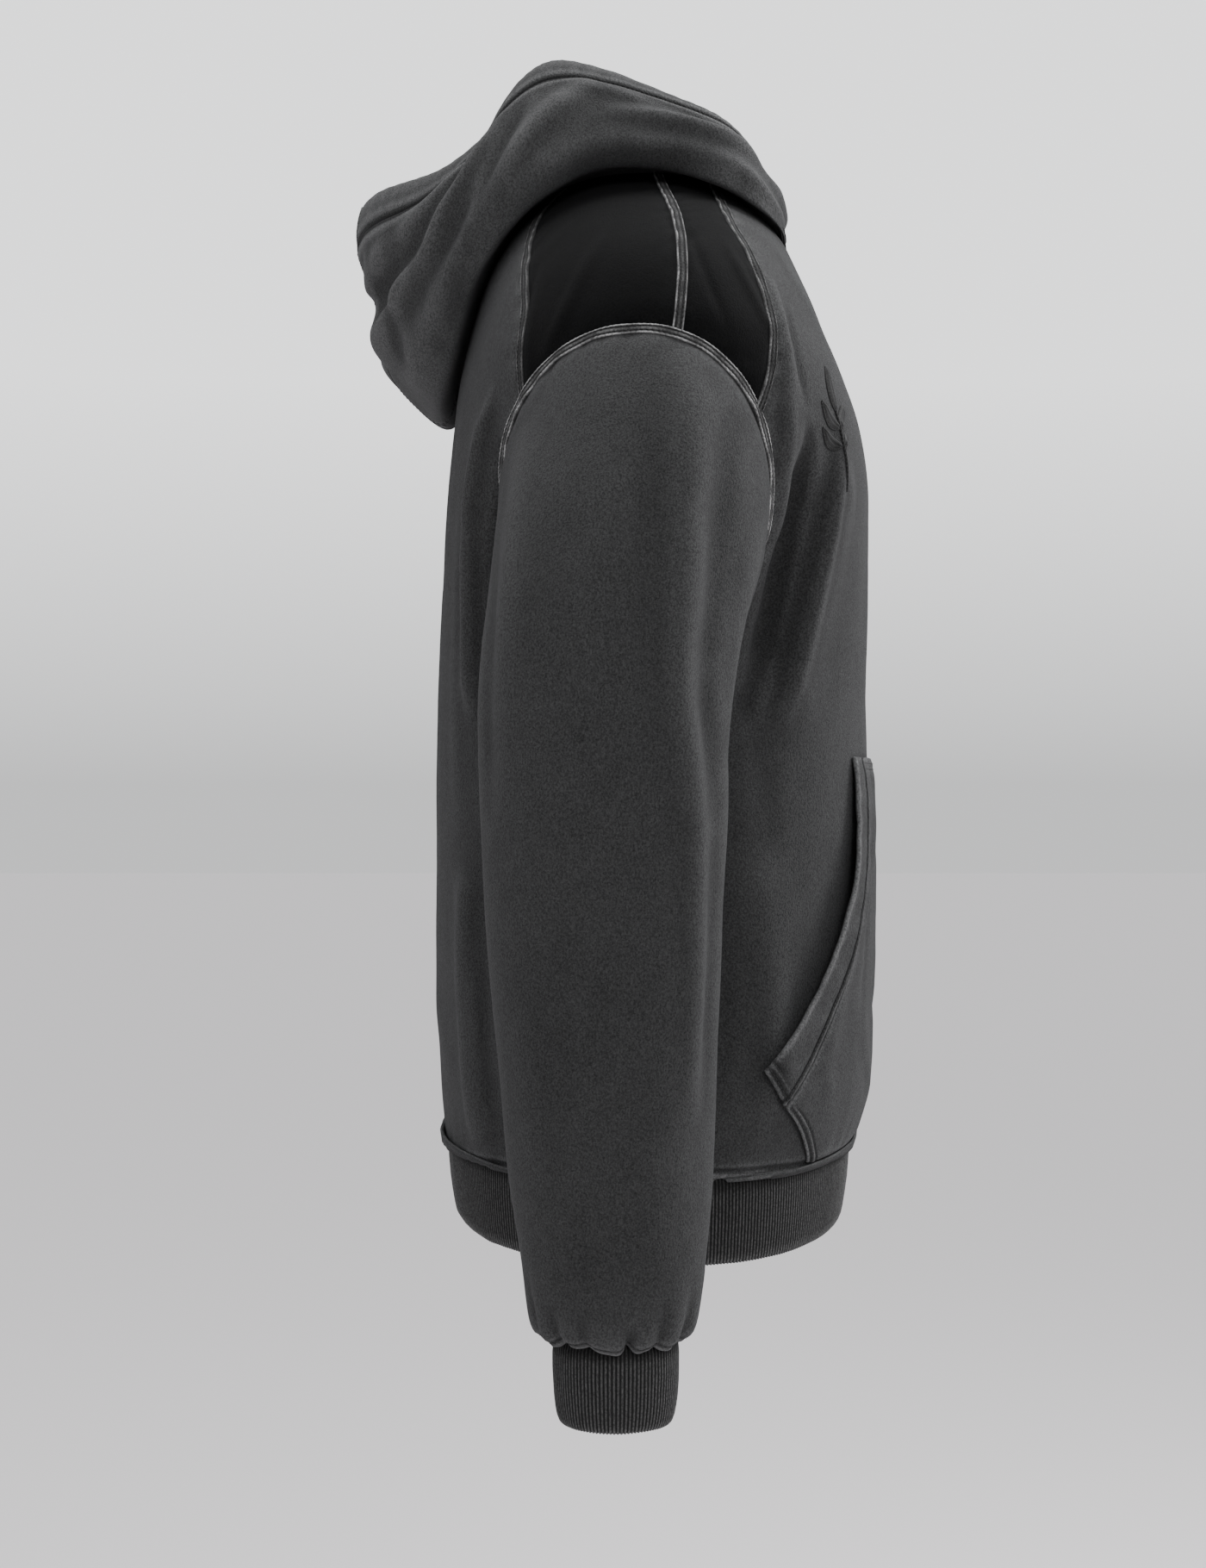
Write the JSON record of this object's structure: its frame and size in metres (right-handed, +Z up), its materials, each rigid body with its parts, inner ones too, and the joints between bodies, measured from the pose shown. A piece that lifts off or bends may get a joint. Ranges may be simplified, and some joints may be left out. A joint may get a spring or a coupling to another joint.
{
  "type": "pullover hoodie",
  "caption": "Heavy washed fleece pullover hoodie, hood down, with smooth shoulder inserts, a kangaroo pocket and rib cuffs and hem, filled out as worn.",
  "frame": {"origin": "middle of the neck at the height of the shoulder neck points, where the wearer holds the garment up", "axes": "+Z up, -Y to the wearer's front, +X to the wearer's left"},
  "size_m": [0.6576, 0.33, 0.7879],
  "materials": {
    "washed_fleece": "matte washed fleece",
    "dark_cloth": "smooth matte cloth",
    "rib_knit": "matte rib knit",
    "worn_seam": "matte worn seam"
  },
  "bodies": {
    "root": {"front_body": "washed_fleece", "back_body": "washed_fleece", "sleeve_right": "washed_fleece", "sleeve_left": "washed_fleece", "hood_right": "washed_fleece", "hood_left": "washed_fleece", "hood_rim_hem_right": "washed_fleece", "hood_rim_hem_left": "washed_fleece", "pocket": "washed_fleece", "pocket_band_right": "washed_fleece", "pocket_band_left": "washed_fleece", "front_insert_right": "dark_cloth", "front_insert_left": "dark_cloth", "back_insert_right": "dark_cloth", "back_insert_left": "dark_cloth", "cuff_right": "rib_knit", "cuff_left": "rib_knit", "hem_rib": "rib_knit", "armhole_seam_right": "worn_seam", "armhole_seam_left": "worn_seam", "shoulder_seam_right": "worn_seam", "shoulder_seam_left": "worn_seam", "front_insert_seam_right": "worn_seam", "front_insert_seam_left": "worn_seam", "back_insert_seam_right": "worn_seam", "back_insert_seam_left": "worn_seam"}
  },
  "joints": []
}
